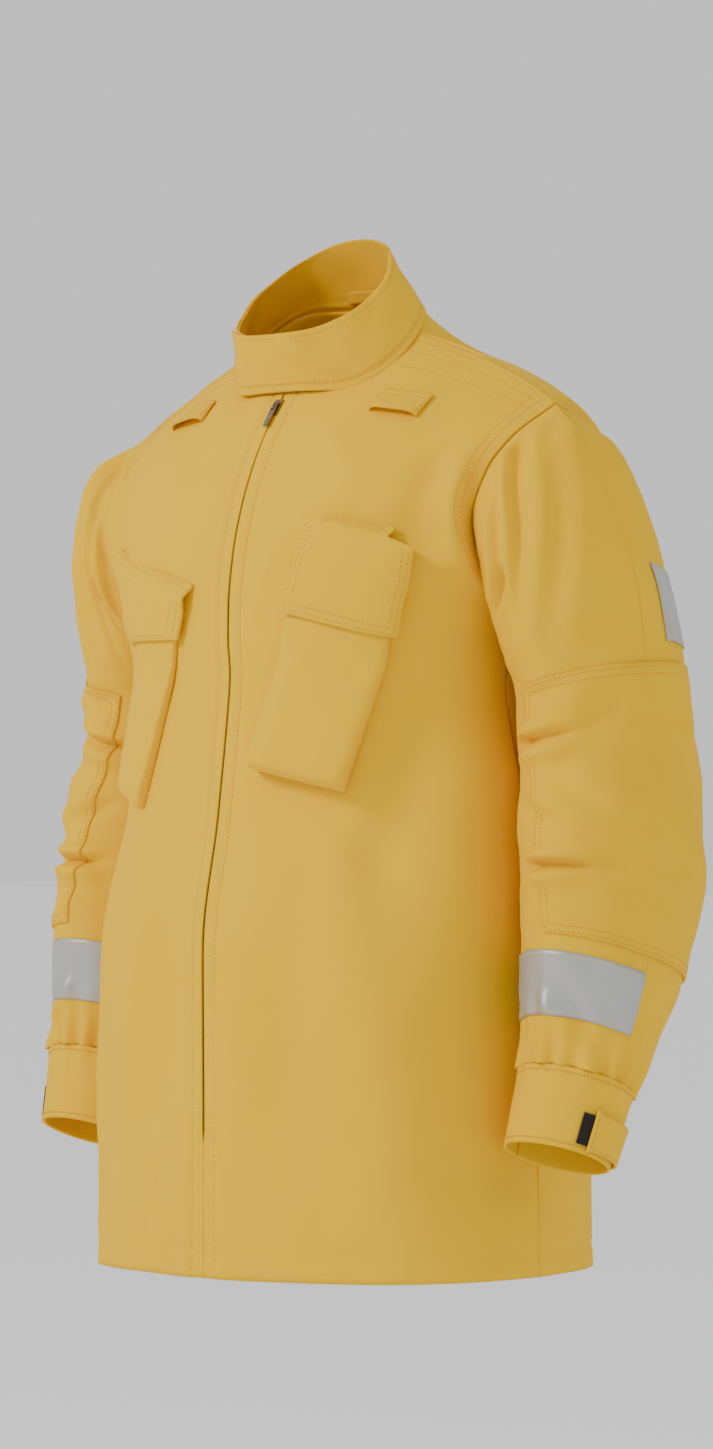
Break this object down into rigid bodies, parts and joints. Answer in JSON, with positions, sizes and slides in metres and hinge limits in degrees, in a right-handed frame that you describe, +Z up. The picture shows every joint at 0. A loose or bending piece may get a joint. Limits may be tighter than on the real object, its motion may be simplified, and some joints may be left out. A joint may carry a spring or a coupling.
{
  "type": "turnout coat",
  "caption": "Waist-length firefighter's turnout coat with stand collar, zip front, chest pockets with flaps, elbow patches and reflective sleeve bands.",
  "frame": {"origin": "the hanger loop's place, in the middle of the back neck seam", "axes": "+Z up as worn, -Y out of the coat's front, +X towards the wearer's left"},
  "size_m": [0.6458, 0.3752, 0.8788],
  "materials": {
    "shell_cloth": "yellow flame-resistant twill",
    "lining_cloth": "yellow twill, inner side",
    "reflective_tape": "silver retroreflective tape",
    "zip_tape": "black woven tape",
    "zip_metal": "antique brass",
    "hook_pad": "black hook fastener"
  },
  "bodies": {
    "root": {"left_front": "shell_cloth", "right_front": "shell_cloth", "back_panel": "shell_cloth", "yoke_lining": "lining_cloth", "left_sleeve_front": "shell_cloth", "left_sleeve_rear": "shell_cloth", "left_elbow_patch": "shell_cloth", "left_lower_sleeve_band": "reflective_tape", "left_upper_sleeve_band": "reflective_tape", "left_cuff": "shell_cloth", "left_cuff_hook_pad": "hook_pad", "left_zip_tape": "zip_tape", "left_zip_teeth": "zip_metal", "left_front_facing": "lining_cloth", "left_mic_tab": "shell_cloth", "right_sleeve_front": "shell_cloth", "right_sleeve_rear": "shell_cloth", "right_elbow_patch": "shell_cloth", "right_lower_sleeve_band": "reflective_tape", "right_upper_sleeve_band": "reflective_tape", "right_cuff": "shell_cloth", "right_cuff_hook_pad": "hook_pad", "right_zip_tape": "zip_tape", "right_zip_teeth": "zip_metal", "right_front_facing": "lining_cloth", "right_mic_tab": "shell_cloth", "back_band": "reflective_tape", "collar_shell": "shell_cloth", "collar_lining": "lining_cloth", "hanger_loop": "lining_cloth", "zip_bottom_stop": "zip_metal", "radio_pocket": "shell_cloth", "bellows_pocket": "shell_cloth"},
    "left_cuff_tab": {"left_cuff_tab": "shell_cloth"},
    "right_cuff_tab": {"right_cuff_tab": "shell_cloth"},
    "zip_slider": {"zip_slider": "zip_metal"},
    "zip_pull": {"zip_pull": "zip_metal"},
    "radio_flap": {"radio_pocket_flap": "shell_cloth"},
    "bellows_flap": {"bellows_pocket_flap": "shell_cloth"}
  },
  "joints": [
    {"name": "zip_travel", "type": "hinge", "parent": "root", "child": "zip_slider", "pos_m": [0, 0.113, -0.28], "axis": [1, 0, 0], "range_deg": [0, 41]},
    {"name": "pull_swing", "type": "hinge", "parent": "zip_slider", "child": "zip_pull", "pos_m": [0, -0.13511, -0.08836], "axis": [-1, 0, 0], "range_deg": [0, 95]},
    {"name": "radio_flap_lift", "type": "hinge", "parent": "root", "child": "radio_flap", "pos_m": [0.12714, -0.16817, -0.19357], "axis": [-0.9096, -0.3434, 0.234], "range_deg": [0, 110]},
    {"name": "bellows_flap_lift", "type": "hinge", "parent": "root", "child": "bellows_flap", "pos_m": [-0.11954, -0.17569, -0.22245], "axis": [-0.8821, 0.3981, 0.2519], "range_deg": [0, 100]},
    {"name": "left_tab_peel", "type": "hinge", "parent": "root", "child": "left_cuff_tab", "pos_m": [0.28737, -0.03823, -0.71311], "axis": [0.1098, 0.3662, 0.924], "range_deg": [0, 80]},
    {"name": "right_tab_peel", "type": "hinge", "parent": "root", "child": "right_cuff_tab", "pos_m": [-0.28737, -0.03823, -0.71311], "axis": [0.1098, -0.3662, -0.924], "range_deg": [0, 80]}
  ]
}
